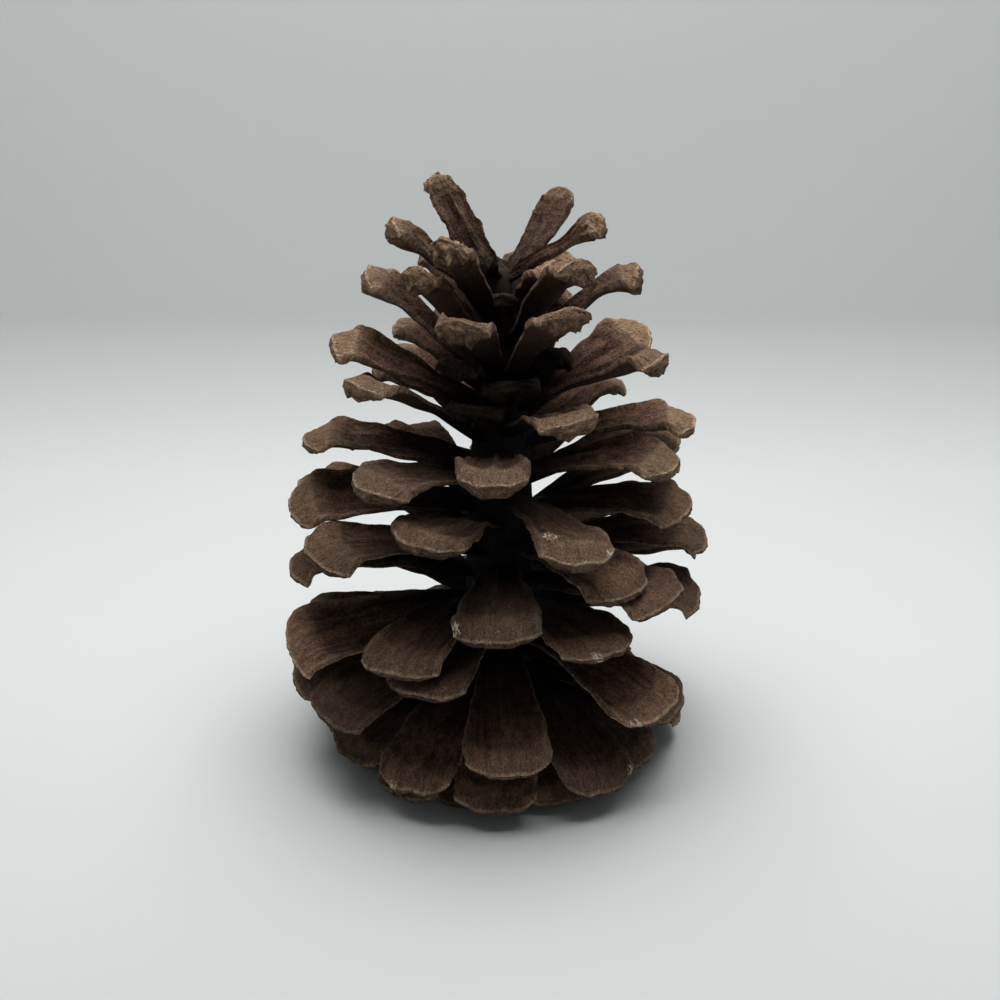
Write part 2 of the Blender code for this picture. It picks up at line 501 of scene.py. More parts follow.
@dataclass(frozen=True)
class ScaleSize:
    """The sizes of one scale, in metres and degrees."""

    root_height: float
    root_radius: float
    reach: float
    tip_height: float
    width: float
    tip_thickness: float
    bow: float
    hook: float

    @classmethod
    def of_number(cls, number: int) -> "ScaleSize":
        """Reads the sizes of one scale from a smooth curve through the levels.

        Args:
            number: the scale's number, from the tip of the cone down.

        Returns:
            Its sizes.
        """
        rows = LEVELS[:, 0]
        place = int(np.clip(np.searchsorted(rows, number, side="right") - 1, 0, len(rows) - 2))
        before, after = max(place - 1, 0), min(place + 2, len(rows) - 1)
        span = rows[place + 1] - rows[place]
        share = (number - rows[place]) / span
        low, high = LEVELS[place, 1:], LEVELS[place + 1, 1:]
        low_slope = (high - LEVELS[before, 1:]) / (rows[place + 1] - rows[before]) * span
        high_slope = (LEVELS[after, 1:] - low) / (rows[after] - rows[place]) * span
        squared, cubed = share**2, share**3
        value = (
            (2 * cubed - 3 * squared + 1) * low
            + (cubed - 2 * squared + share) * low_slope
            + (3 * squared - 2 * cubed) * high
            + (cubed - squared) * high_slope
        )
        value[:6] *= HEIGHT
        return cls(*(float(number) for number in value))

    def centre_line(self, crease: float, sharpness: float, steps: int = 160) -> np.ndarray:
        """The line down the blade's middle, for a chord of length 1 along +X.

        Args:
            crease: where the end turns down, as a share of length.
            sharpness: how much of the hook lies in the crease, from 0 to 1.
            steps: how many steps it has.

        Returns:
            One row of (along, up, heading) for each step.
        """
        share = np.linspace(0, 1, steps + 1)
        eased = (1 - sharpness) * smooth((share - HOOK_START) / (1 - HOOK_START))
        eased += sharpness * smooth((share - crease + 0.03) / 0.07)
        heading = np.radians(self.bow * (0.5 - share) - self.hook * eased)
        along = np.concatenate([[0], np.cumsum(np.cos(heading[:-1]))]) / steps
        up = np.concatenate([[0], np.cumsum(np.sin(heading[:-1]))]) / steps
        chord, tilt = math.hypot(along[-1], up[-1]), math.atan2(up[-1], along[-1])
        return np.stack(
            [
                (along * math.cos(tilt) + up * math.sin(tilt)) / chord,
                (up * math.cos(tilt) - along * math.sin(tilt)) / chord,
                heading - tilt,
            ],
            axis=1,
        )


@dataclass(frozen=True)
class Spots:
    """Where each vertex of the blank lies on a scale.

    Attributes:
        share: place along the blade, from its root at 0 to its end at 1.
        across: place across it, from -1 to 1.
        rise: place in its thickness, from -1 to 1.
        radius: distance from the bar's middle, 1 on its skin and less on its end.
        sin: height on the bar's round section, which is 0 at its sides.
        upper: whether it is on the upper half.
        on_end: whether it is on the end face.
        face: 1 on the flat of the upper face, fading to 0 at its sides.
    """

    share: np.ndarray
    across: np.ndarray
    rise: np.ndarray
    radius: np.ndarray
    sin: np.ndarray
    upper: np.ndarray
    on_end: np.ndarray
    face: np.ndarray

    @classmethod
    def on_blank(cls, unit: np.ndarray, denser: float) -> "Spots":
        """Reads them from the blank: rounded along the blade, boxier towards the end.

        Args:
            unit: one row of x, y and z for each vertex of the blank.
            denser: how much closer the stations lie towards the end.

        Returns:
            The spots.
        """
        radius = np.hypot(unit[:, 0], unit[:, 1])
        cos = unit[:, 0] / np.maximum(radius, 1e-6)
        sin = unit[:, 1] / np.maximum(radius, 1e-6)
        share = 1 - (1 - np.clip(unit[:, 2] + 0.5, 0, 1)) ** denser
        blunt = smooth((share - 0.60) / 0.30)
        upper = sin >= 0
        on_end = radius < 0.999
        across = np.sign(cos) * np.abs(cos) ** (0.90 - 0.25 * blunt) * radius
        power = np.where(upper, 0.36 - 0.08 * blunt, 1.00 - 0.45 * blunt)
        rise = np.sign(sin) * np.abs(sin) ** power * radius
        face = np.where(upper & ~on_end, smooth(sin / 0.5), 0.0)
        return cls(share, across, rise, radius, sin, upper, on_end, face)


@dataclass
class Scale:
    """One woody scale: a blade whose end turns down into a thick, wrinkled face.

    Attributes:
        number: its number, from the tip of the cone down.
        edge_thinning: how much thinner the blade is at its sides.
        corner_thinning: how much thinner the end face is at its corners.
        keel: height of the keel across its end face.
        denser: how much closer the stations lie towards the end.
        size: its sizes.
        relief: how its surface dried.
        length: its length, from its sunk root to its end.
        matrix: where it stands on the cone.
        tone_and_painted_light: how light its wood is, 1 being the usual; partly its own tone and
            partly painted light and shade, darker down the cone and near black where tucked.
    """

    number: int
    edge_thinning: float = 0.45
    corner_thinning: float = 0.72
    keel: float = 0.0004
    denser: float = 1.45
    size: ScaleSize = field(init=False)
    relief: Relief = field(init=False)
    length: float = field(init=False)
    matrix: Matrix = field(init=False)
    tone_and_painted_light: float = field(init=False)

    def __post_init__(self) -> None:
        """Works out where the scale stands and how it dried."""
        self.size = ScaleSize.of_number(self.number)
        draw = random.Random(self.number)
        turn = draw.uniform(-3, 3)
        lift = draw.uniform(-2, 2)
        roll = draw.uniform(-7, 7)
        share = draw.uniform(0.97, 1.03)
        warp = WARPED.get(self.number, Warp(turn, lift, roll, share))
        usual = Relief(
            roundness=self.by_number((0, 0.05), (35, 0.10), (65, 0.06)) * draw.uniform(0.7, 1.3),
            corner=self.by_number((30, 2.3), (60, 3.2)),
            cup=self.by_number((0, 0.20), (40, 0.18), (75, 0.03)) + draw.uniform(-0.03, 0.05),
            droop=draw.uniform(0.03, 0.14),
            ragged=self.by_number((0, 0.50), (60, 0.34), (90, 0.24)) * draw.uniform(0.8, 1.2),
            crumple=draw.uniform(0.0003, 0.0005),
            nicks=draw.uniform(0.015, 0.035),
            trough=draw.uniform(0.0003, 0.0007) * self.by_number((20, 1.0), (45, 1.5), (70, 0.9)),
            ridge=draw.uniform(0.0002, 0.0006) * self.by_number((20, 1.0), (45, 1.5), (70, 0.8)),
        )
        self.relief = RELIEFS.get(self.number, usual)
        # Tucked scales get a near-black tone as painted shade; the others a random tone
        usual_tone_and_shade = TUCKED_SHADE if warp.share < TUCKED_SHARE else draw.uniform(0.88, 1.10)
        self.tone_and_painted_light = TONES_AND_PAINTED_LIGHT.get(self.number, usual_tone_and_shade)
        # Partly the wood's own colour, partly painted shade: the wood darkens down the cone, where the
        # scales lie more in shade
        self.tone_and_painted_light *= self.by_number((0, 0.90), (30, 0.88), (50, 0.74), (62, 0.76), (90, 0.74))
        outward = self.size.reach - self.size.root_radius
        upward = self.size.tip_height - self.size.root_height
        pitch = math.atan2(upward, outward) + math.radians(warp.lift)
        self.length = math.hypot(outward, upward) * warp.share + ROOT_SUNK
        azimuth = math.radians(FIRST_AZIMUTH + GOLDEN_ANGLE * self.number + warp.turn)
        self.matrix = (
            Matrix.Translation((0, 0, self.size.root_height))
            @ Matrix.Rotation(azimuth, 4, "Z")
            @ Matrix.Translation((self.size.root_radius - ROOT_SUNK * math.cos(pitch), 0, 0))
            @ Matrix.Rotation(-pitch, 4, "Y")
            @ Matrix.Rotation(math.radians(warp.roll), 4, "X")
        )

    def by_number(self, *stops: tuple[float, float]) -> float:
        """Reads a value that changes down the cone.

        Args:
            stops: pairs of a scale's number and the value there.

        Returns:
            The value at this scale.
        """
        numbers, values = zip(*stops)
        return float(np.interp(self.number, numbers, values))

    @property
    def crease(self) -> float:
        """Where the upper face turns down into the end face, as a share of length."""
        return self.by_number((0, 0.91), (20, 0.89), (35, 0.86), (55, 0.88), (75, 0.94))

    @property
    def end_thickness(self) -> float:
        """How thick the end is: the low scales' worn margins are thinner than the solid's."""
        return self.size.tip_thickness * self.by_number((34, 1.0), (58, 0.72), (80, 0.55))

    def build(self, blank: ScaleBlank) -> bpy.types.Object:
        """Shapes a copy of the blank to this scale.

        Args:
            blank: the unit bar.

        Returns:
            The scale, with its place in its mesh.
        """
        mesh = blank.mesh.copy()
        spots = Spots.on_blank(coordinates(mesh), self.denser)
        draw = random.Random(SHAPE_SEED + self.number)
        at, half_width = self.plan(spots, draw)
        lift, thick = self.thickness(spots, draw)
        past = smooth((at - self.crease + 0.02) / 0.05)
        lift += self.bend_across(spots, half_width, past, draw)
        border, furrow = self.furrows(spots, at)
        fold = self.folds(spots, at, draw)
        lift += furrow + FOLD_HEIGHT * fold * spots.face
        aside = spots.across * half_width
        lift, out = self.roughen(spots, at, aside, lift, self.end_face(spots))
        places = self.place(at, aside, lift, out)
        places[:, 2] = np.maximum(places[:, 2], CAD_LOW.z)
        place_vertices(mesh, places)
        run = at * self.length + np.where(spots.on_end, (1 - spots.rise) * thick, 0.0)
        seed = np.full_like(run, self.number * GRAIN_SHIFT)
        write_attribute(mesh, "grain", np.stack([run, aside, seed], axis=1))
        self.write_masks(mesh, spots, at, past, border, fold)
        scale = bpy.data.objects.new(f"scale_{self.number:03d}", mesh)
        bpy.context.scene.collection.objects.link(scale)
        return scale

    def plan(self, spots: Spots, draw: random.Random) -> tuple[np.ndarray, np.ndarray]:
        """The blade's outline, seen from above: its end is a shallow, uneven arc.

        Args:
            spots: the vertices.
            draw: the seeded draw of its unevenness.

        Returns:
            Each vertex's place along the blade, as a share, and the half-width there.
        """
        share, across = spots.share, spots.across
        outer = np.abs(across) ** self.relief.corner
        lag = self.relief.roundness * smooth((share - 0.5) / 0.5) * outer
        uneven = self.by_number((0, 0.010), (70, 0.006))
        front = uneven * smooth((share - 0.85) / 0.15) * ripple(across * 1.1, draw, 6)
        at = np.clip(share - lag + front, 0, 1.008)
        usual = np.interp(share, PLAN_AT, PLAN_HALF)
        strap = np.interp(share, STRAP_AT, STRAP_HALF)
        half = usual + (strap - usual) * self.relief.strap
        half *= self.relief.slim + (1 - self.relief.slim) * smooth((share - 0.80) / 0.10)
        left, right = ripple(share * 3.4, draw, 6), ripple(share * 3.1, draw, 6)
        half *= 1 + self.relief.nicks * np.where(across < 0, left, right) * smooth(share / 0.3)
        half *= self.by_number((0, 1.05), (8, 0.88), (30, 0.90), (45, 1.0))
        return at, half * self.size.width / 2

    def thickness(self, spots: Spots, draw: random.Random) -> tuple[np.ndarray, np.ndarray]:
        """The blade's section, thin at its sides, with a lobed lower margin at the end.

        Args:
            spots: the vertices.
            draw: the seeded draw of the lobes.

        Returns:
            Each vertex's height over the middle plane, and the full thickness there.
        """
        share, across = spots.share, spots.across
        body = np.interp(share, (0, 0.25), (ROOT_THICKNESS, BODY_THICKNESS))
        thick = body + (self.end_thickness - body) * smooth((share - 0.66) / 0.28)
        margin = smooth((share - 0.82) / 0.12) * self.relief.ragged
        below = thick / 2 * (1 + margin * ripple(across * 1.4, draw, 6))
        above = thick / 2 * (1 + 0.15 * margin * ripple(across, draw))
        sharper = smooth((share - 0.75) / 0.2) * (self.corner_thinning - self.edge_thinning)
        thinning = 1 - (self.edge_thinning + sharper) * across**2
        return np.where(spots.upper, above, below) * spots.rise * thinning, thick

    def bend_across(
        self, spots: Spots, half_width: np.ndarray, past: np.ndarray, draw: random.Random
    ) -> np.ndarray:
        """How the blade dried out of flat: cupped along its length, hanging at its corners.

        Args:
            spots: the vertices.
            half_width: the half-width at each.
            past: 0 before the crease and 1 past it.
            draw: the seeded draw of its wave and twist.

        Returns:
            The height that it adds.
        """
        share, across = spots.share, spots.across
        cup = self.relief.cup * smooth((share - 0.15) / 0.5)
        cup *= 1 - smooth((share - self.crease - 0.02) / 0.08)
        height = half_width * across**2 * (cup - self.relief.droop * past)
        wave = 0.0005 * ripple(share * 1.2, draw, 3)
        wave += 0.0006 * across * ripple(share * 0.9, draw, 3)
        return height + wave * smooth(share / 0.3)

    def furrows(self, spots: Spots, at: np.ndarray) -> tuple[np.ndarray, np.ndarray]:
        """The two seed troughs of the upper face, and the ridge between them.

        Args:
            spots: the vertices.
            at: place along the blade, as a share.

        Returns:
            0 within the arched border of the troughs and 1 past it, and the height added.
        """
        border = smooth((at - (self.crease - 0.09 - 0.10 * spots.across**2)) / 0.045)
        inside = smooth((spots.share - 0.05) / 0.12) * (1 - border)
        inside *= 1 - smooth((np.abs(spots.across) - 0.78) / 0.14)
        hollow = inside * smooth((np.abs(spots.across) - 0.04) / 0.16)
        spine = np.exp(-((spots.across / 0.10) ** 2)) * inside
        return border, spots.face * (self.relief.ridge * spine - self.relief.trough * hollow)

    def folds(self, spots: Spots, at: np.ndarray, draw: random.Random) -> np.ndarray:
        """The curled sides of the upper face, and a fold that wanders along it.

        Args:
            spots: the vertices.
            at: place along the blade, as a share.
            draw: the seeded draw of the fold's place.

        Returns:
            1 on a crest, fading to 0 beside it.
        """
        before_end = smooth((spots.share - 0.12) / 0.2)
        before_end *= 1 - smooth((at - self.crease + 0.01) / 0.05)
        curled = np.exp(-(((np.abs(spots.across) - 0.90) / 0.07) ** 2))
        middle = draw.uniform(-0.5, 0.5) + 0.25 * ripple(spots.share * 0.8, draw, 3)
        fold = np.exp(-(((spots.across - middle) / 0.07) ** 2)) * draw.uniform(0.3, 1.0)
        height = self.by_number((0, 0.9), (60, 0.8), (85, 0.3))
        return np.maximum(curled, fold) * before_end * height

    def end_face(self, spots: Spots) -> np.ndarray:
        """The end face: nearly flat, with a low keel across its upper part.

        Args:
            spots: the vertices.

        Returns:
            Its height over the flat end.
        """
        keel_line = np.exp(-(((spots.rise - 0.2) / 0.22) ** 2)) * (1 - spots.across**2)
        dome = 0.10 * self.end_thickness * (1 - spots.radius**2)
        return np.where(spots.on_end, dome + self.keel * keel_line, 0.0)

    def roughen(
        self, spots: Spots, at: np.ndarray, aside: np.ndarray, lift: np.ndarray, out: np.ndarray
    ) -> tuple[np.ndarray, np.ndarray]:
        """Adds the lumps of the end and the crosswise wrinkles of the upper face.

        Args:
            spots: the vertices.
            at: place along the blade, as a share.
            aside: place across the blade, in metres.
            lift: height over the middle plane.
            out: height over the end.

        Returns:
            The new lift and out.
        """
        lift, out = lift.copy(), out.copy()
        lumps = self.relief.crumple * smooth((spots.share - 0.84) / 0.10)
        wrinkles = self.relief.skin * spots.face * smooth((spots.share - 0.1) / 0.2)
        depth = spots.rise * self.end_thickness / 2
        shift = Vector((0, 0, self.number * LUMP_SHIFT))
        for index in np.nonzero(lumps + wrinkles > 1e-6)[0]:
            spot = Vector((at[index] * self.length, aside[index], depth[index]))
            lump = noise.noise(spot * 520 + shift) + 0.6 * noise.noise(spot * 1250 + shift)
            if spots.on_end[index]:
                out[index] += lumps[index] * lump
            else:
                crease = noise.noise(Vector((spot.x * 900, spot.y * 260, 0)) + shift)
                lift[index] += math.copysign(lumps[index], spots.rise[index]) * lump
                lift[index] += wrinkles[index] * crease
        return lift, out

    def place(
        self, at: np.ndarray, aside: np.ndarray, lift: np.ndarray, out: np.ndarray
    ) -> np.ndarray:
        """Lays the vertices along the bowed and hooked blade, where it stands on the cone.

        Args:
            at: place along the blade, as a share.
            aside: place across it, in metres.
            lift: height over the middle plane.
            out: height over the end.

        Returns:
            One row of x, y and z for each vertex.
        """
        line = self.size.centre_line(self.crease, self.by_number((30, 0.55), (58, 0.30), (72, 0.0)))
        steps = np.linspace(0, 1, len(line))
        along, up, heading = (np.interp(at, steps, line[:, axis]) for axis in range(3))
        local = np.stack(
            [
                along * self.length - np.sin(heading) * lift + np.cos(heading) * out,
                aside,
                up * self.length + np.cos(heading) * lift + np.sin(heading) * out,
            ],
            axis=1,
        )
        turn = np.array(self.matrix)
        return local @ turn[:3, :3].T + turn[:3, 3]

    def write_masks(
        self,
        mesh: bpy.types.Mesh,
        spots: Spots,
        at: np.ndarray,
        past: np.ndarray,
        border: np.ndarray,
        fold: np.ndarray,
    ) -> None:
        """Stores where each kind of wood shows, and the painted shade and highlights, for the finish
        to read.

        Args:
            mesh: the scale's mesh.
            spots: the vertices.
            at: place along the blade, as a share.
            past: 0 before the crease and 1 past it.
            border: 0 within the troughs' border and 1 past it.
            fold: 1 on the crest of a fold and 0 beside it.
        """
        upper = np.where(spots.upper, 1.0, 0.0)
        lower_end = smooth((spots.share - 0.88) / 0.07) * (1 - upper) * 0.7
        end = np.maximum(np.where(spots.on_end, 1.0, 0.0), upper * past * 0.85)
        # Painted highlight: a pale line along the crease where the upper face turns down
        crest = np.exp(-(((at - self.crease) / 0.014) ** 2)) * upper
        crest *= self.by_number((20, 0.8), (62, 0.0))
        tip_edge = smooth((spots.share - 0.980) / 0.012) * upper
        tip_edge *= smooth((spots.radius - 0.8) / 0.15)
        side_edge = np.exp(-((spots.sin / 0.16) ** 2)) * smooth((spots.share - 0.1) / 0.2)
        side_edge *= self.by_number((0, 0.35), (40, 0.7), (60, 1.0))
        worn_edge_and_highlight = np.maximum(np.maximum(side_edge, tip_edge), crest)
        worn_edge_and_highlight *= np.where(spots.radius > 0.8, 1.0, 0.0)
        # Painted shade: the wood darkens towards the roots, where the scales above shade it, more so
        # on the lower face and over the inner upper face of the low scales
        root_shade = self.by_number((0, 0.22), (30, 0.12), (60, 0.08), (90, 0.05))
        depth = root_shade + (1 - root_shade) * smooth((spots.share - 0.05) / 0.85)
        below = 0.35 + 0.65 * smooth((spots.share - 0.25) / 0.6)
        depth *= np.where(spots.upper | spots.on_end, 1.0, below)
        inner_face_shade = self.by_number((40, 0.0), (60, 0.18), (90, 0.22))
        depth *= 1 - inner_face_shade * (1 - border) * spots.face
        tip = np.maximum(end, lower_end)
        # Partly weathering, partly painted light: the crown scales' ends take more of the end's tan
        # and are lighter, the crown being lit more fully
        weathered = self.by_number((0, 1.0), (36, 0.9), (50, 0.40), (80, 0.20))
        worn = 1 + self.by_number((0, 0.45), (36, 0.35), (56, 0.0)) * tip
        masks = {
            "tip": tip * weathered,
            "upper": upper,
            # Painted highlight: the fold crests take the pale edge colour too
            "worn_edge_and_highlight": np.maximum(worn_edge_and_highlight, 0.60 * fold * spots.face),
            "border": border * spots.face,
            "shade": depth * self.tone_and_painted_light * worn,
            "resin": self.resin_mask(at, spots),
        }
        for name, values in masks.items():
            write_attribute(mesh, name, values)

    def resin_mask(self, at: np.ndarray, spots: Spots) -> np.ndarray:
        """Where the scale's resin lies.

        Args:
            at: place along the blade, as a share.
            spots: the vertices.

        Returns:
            1 in the middle of a spot, and 0 away from all of them.
        """
        mask = np.zeros_like(at)
        aspect = self.length / (self.size.width / 2)
        for spot in self.relief.resin:
            squared = ((at - spot.along) * aspect) ** 2 + (spots.across - spot.across) ** 2
            mask = np.maximum(mask, np.exp(-squared / spot.radius**2))
        return mask * np.where(spots.upper, 1.0, 0.3)


Colour = tuple[float, float, float, float]
Socket = bpy.types.NodeSocket


class Bench:
    """A material's node tree, with short calls to add and join nodes."""

    def __init__(self, name: str) -> None:
        """Starts a material with a Principled shader.

        Args:
            name: the material's name.
        """
        self.material = bpy.data.materials.new(name)
        self.material.use_nodes = True
        self.tree = self.material.node_tree
        self.shader = self.tree.nodes["Principled BSDF"]

    def link(self, source: Socket, target: Socket) -> None:
        """Joins an output to an input.

        Args:
            source: the output.
            target: the input.
        """
        self.tree.links.new(source, target)

    def feed(self, value: object, target: Socket) -> None:
        """Gives an input a number or colour, or joins it to an output.

        Args:
            value: the number, colour or output.
            target: the input.
        """
        if isinstance(value, Socket):
            self.link(value, target)
        else:
            target.default_value = value

    def attribute(self, name: str, output: str = "Fac") -> Socket:
        """Reads an attribute of the mesh.

        Args:
            name: the attribute's name.
            output: which of the node's outputs.

        Returns:
            The output.
        """
        node = self.tree.nodes.new("ShaderNodeAttribute")
        node.attribute_name = name
        return node.outputs[output]

    def noise(self, place: Socket, stretch: tuple[float, float, float], detail: float = 3.0) -> Socket:
        """A noise pattern.

        Args:
            place: where to read it.
            stretch: how many waves it has to the metre, each way.
            detail: how many finer layers it has.

        Returns:
            Its value, from 0 to 1.
        """
        mapping = self.tree.nodes.new("ShaderNodeMapping")
        mapping.inputs["Scale"].default_value = stretch
        self.link(place, mapping.inputs["Vector"])
        node = self.tree.nodes.new("ShaderNodeTexNoise")
        node.inputs["Scale"].default_value = 1.0
        node.inputs["Detail"].default_value = detail
        self.link(mapping.outputs["Vector"], node.inputs["Vector"])
        return node.outputs["Fac"]

    def math(self, operation: str, first: object, second: object = 0.0) -> Socket:
        """One step of arithmetic.

        Args:
            operation: the Math node's operation.
            first: a number or an output.
            second: a number or an output.

        Returns:
            The result.
        """
        node = self.tree.nodes.new("ShaderNodeMath")
        node.operation = operation
        self.feed(first, node.inputs[0])
        self.feed(second, node.inputs[1])
        return node.outputs[0]

    def span(
        self, value: Socket, low: float, high: float, to_low: float = 0.0, to_high: float = 1.0
    ) -> Socket:
        """Maps one span of values on another, and clips it.

        Args:
            value: the value to map.
            low: the value that becomes to_low.
            high: the value that becomes to_high.
            to_low: the lower end of the result.
            to_high: the upper end of the result.

        Returns:
            The mapped value.
        """
        node = self.tree.nodes.new("ShaderNodeMapRange")
        names = ("From Min", "From Max", "To Min", "To Max")
        for name, number in zip(names, (low, high, to_low, to_high)):
            node.inputs[name].default_value = number
        self.link(value, node.inputs["Value"])
        return node.outputs["Result"]

    def mix(self, factor: object, first: object, second: object, blend: str = "MIX") -> Socket:
        """Mixes two colours.

        Args:
            factor: the share of the second.
            first: a colour or an output.
            second: a colour or an output.
            blend: the blend type.

        Returns:
            The mixed colour.
        """
        node = self.tree.nodes.new("ShaderNodeMix")
        node.data_type = "RGBA"
        node.blend_type = blend
        self.feed(factor, node.inputs["Factor"])
        self.feed(first, node.inputs[6])
        self.feed(second, node.inputs[7])
        return node.outputs[2]

    def bump(self, height: Socket, distance: float, under: Socket | None = None) -> Socket:
        """Roughens the surface.

        Args:
            height: the pattern, from 0 to 1.
            distance: its depth.
            under: the normal of the layer below it, if there is one.

        Returns:
            The new normal.
        """
        node = self.tree.nodes.new("ShaderNodeBump")
        node.inputs["Distance"].default_value = distance
        node.inputs["Strength"].default_value = 1.0
        self.link(height, node.inputs["Height"])
        if under is not None:
            self.link(under, node.inputs["Normal"])
        return node.outputs["Normal"]

    def clear_from_behind(self) -> None:
        """Makes the surface clear where its back is seen, so that a wall hides nothing."""
        clear = self.tree.nodes.new("ShaderNodeBsdfTransparent")
        geometry = self.tree.nodes.new("ShaderNodeNewGeometry")
        mixer = self.tree.nodes.new("ShaderNodeMixShader")
        self.link(geometry.outputs["Backfacing"], mixer.inputs["Fac"])
        self.link(self.shader.outputs["BSDF"], mixer.inputs[1])
        self.link(clear.outputs["BSDF"], mixer.inputs[2])
        self.link(mixer.outputs["Shader"], self.tree.nodes["Material Output"].inputs["Surface"])


@dataclass(frozen=True)
class ScaleFinish:
    """Dull, dry scale wood: dark brown blades with greyer, wrinkled ends.

    Attributes:
        deep: the wood's darkest brown.
        brown: the usual brown of the upper face.
        under: the near-black brown of the lower face, painted shade.
        end: the weathered tan of the end face.
        worn_edge_and_highlight: the pale worn edge, also painted as a highlight along the crease and
            the fold crests.
        crack: the fine cracks along the blade.
        resin: dried resin.
        roughness: how dull it is.
        underside_shade_share: how fully the lower face takes its painted shade.
        border_share: how much of the end's tan the band beside it takes.
        striae_depth: depth of the fine streaks along the blade.
        mottle_depth: depth of the uneven patches.
        furrow_depth: depth of the end's wrinkles.
        velvet_depth: depth of the finest grain.
    """

    deep: Colour = (0.066, 0.033, 0.021, 1)
    brown: Colour = (0.240, 0.136, 0.090, 1)
    under: Colour = (0.050, 0.027, 0.018, 1)
    end: Colour = (0.235, 0.154, 0.092, 1)
    worn_edge_and_highlight: Colour = (0.400, 0.290, 0.190, 1)
    crack: Colour = (0.035, 0.018, 0.011, 1)
    resin: Colour = (0.620, 0.540, 0.420, 1)
    roughness: float = 0.80
    underside_shade_share: float = 0.9
    border_share: float = 0.22
    striae_depth: float = 0.00028
    mottle_depth: float = 0.00090
    furrow_depth: float = 0.0012
    velvet_depth: float = 0.00050

    def material(self) -> bpy.types.Material:
        """Builds the material.

        Returns:
            The material.
        """
        bench = Bench("scale_wood")
        grain = bench.attribute("grain", "Vector")
        striae = bench.noise(grain, (70, 1500, 9), 4)
        mottle = bench.noise(grain, (380, 520, 9), 5)
        velvet = bench.noise(grain, (1900, 2300, 9), 3)
        furrows = bench.noise(grain, (300, 900, 9), 4)
        wood = self.wood(bench, striae, mottle)
        wood = self.wear(bench, wood, furrows, mottle)
        wood = self.shading(bench, wood, velvet)
        wood = self.flecks(bench, wood, grain)
        bench.link(wood, bench.shader.inputs["Base Color"])
        dull = bench.span(mottle, 0.3, 0.7, self.roughness - 0.14, self.roughness + 0.12)
        bench.link(dull, bench.shader.inputs["Roughness"])
        bench.shader.inputs["Specular IOR Level"].default_value = 0.15
        end_furrows = bench.math("MULTIPLY", furrows, bench.attribute("tip"))
        normal = bench.bump(striae, self.striae_depth)
        normal = bench.bump(mottle, self.mottle_depth, normal)
        normal = bench.bump(end_furrows, self.furrow_depth, normal)
        normal = bench.bump(velvet, self.velvet_depth, normal)
        bench.link(normal, bench.shader.inputs["Normal"])
        return bench.material

    def wood(self, bench: Bench, striae: Socket, mottle: Socket) -> Socket:
        """The wood's own brown, streaked along the blade, with the lower face darkened as painted
        shade.

        Args:
            bench: the material's bench.
            striae: the fine streaks along the blade.
            mottle: the uneven patches.

        Returns:
            The colour.
        """
        streaks = bench.math("MULTIPLY", striae, 0.30)
        weave = bench.math("ADD", streaks, bench.math("MULTIPLY", mottle, 0.70))
        wood = bench.mix(bench.span(weave, 0.33, 0.67), self.deep, self.brown)
        crack = bench.span(striae, 0.30, 0.40, 0.65, 0.0)
        wood = bench.mix(crack, wood, self.crack)
        # Painted shade: the lower face takes a near-black brown
        lower = bench.math("SUBTRACT", 1.0, bench.attribute("upper"))
        return bench.mix(bench.math("MULTIPLY", lower, self.underside_shade_share), wood, self.under)

    def wear(self, bench: Bench, wood: Socket, furrows: Socket, mottle: Socket) -> Socket:
        """The weathered end, the paler band along it, the pale worn edges and the painted highlights
        along the crease and fold crests.

        Args:
            bench: the material's bench.
            wood: the colour so far.
            furrows: the wrinkles of the end face.
            mottle: the uneven patches.

        Returns:
            The colour.
        """
        band = bench.math("MULTIPLY", bench.attribute("border"), self.border_share)
        wood = bench.mix(band, wood, self.end)
        wrinkles = bench.span(furrows, 0.36, 0.60, 0.25, 1.0)
        wrinkled = bench.math("MULTIPLY", bench.attribute("tip"), wrinkles)
        wood = bench.mix(wrinkled, wood, self.end)
        worn = bench.span(mottle, 0.32, 0.60, 0.25, 0.95)
        # Pale worn edges, with painted highlights along the crease and fold crests
        edge = bench.math("MULTIPLY", bench.attribute("worn_edge_and_highlight"), worn)
        return bench.mix(edge, wood, self.worn_edge_and_highlight)

    def shading(self, bench: Bench, wood: Socket, velvet: Socket) -> Socket:
        """Multiplies in the painted shade towards the scales' roots and under them, and each scale's
        tone with its painted light, and speckles it finely.

        Args:
            bench: the material's bench.
            wood: the colour so far.
            velvet: the finest grain.

        Returns:
            The colour.
        """
        speckle = bench.span(velvet, 0.36, 0.64, 0.60, 1.36)
        shade = bench.math("MULTIPLY", bench.attribute("shade"), speckle)
        grey = bench.tree.nodes.new("ShaderNodeCombineColor")
        for channel in grey.inputs:
            bench.link(shade, channel)
        return bench.mix(1.0, wood, grey.outputs["Color"], "MULTIPLY")

    def flecks(self, bench: Bench, wood: Socket, grain: Socket) -> Socket:
        """Scatters small flecks of dried resin.

        Args:
            bench: the material's bench.
            wood: the colour so far.
            grain: place along and across the blade.

        Returns:
            The colour.
        """
        crumbs = bench.span(bench.noise(grain, (1300, 1900, 9), 4), 0.44, 0.56)
        spot = bench.math("MULTIPLY", bench.attribute("resin"), crumbs)
        return bench.mix(bench.span(spot, 0.25, 0.55, 0.0, 0.85), wood, self.resin)


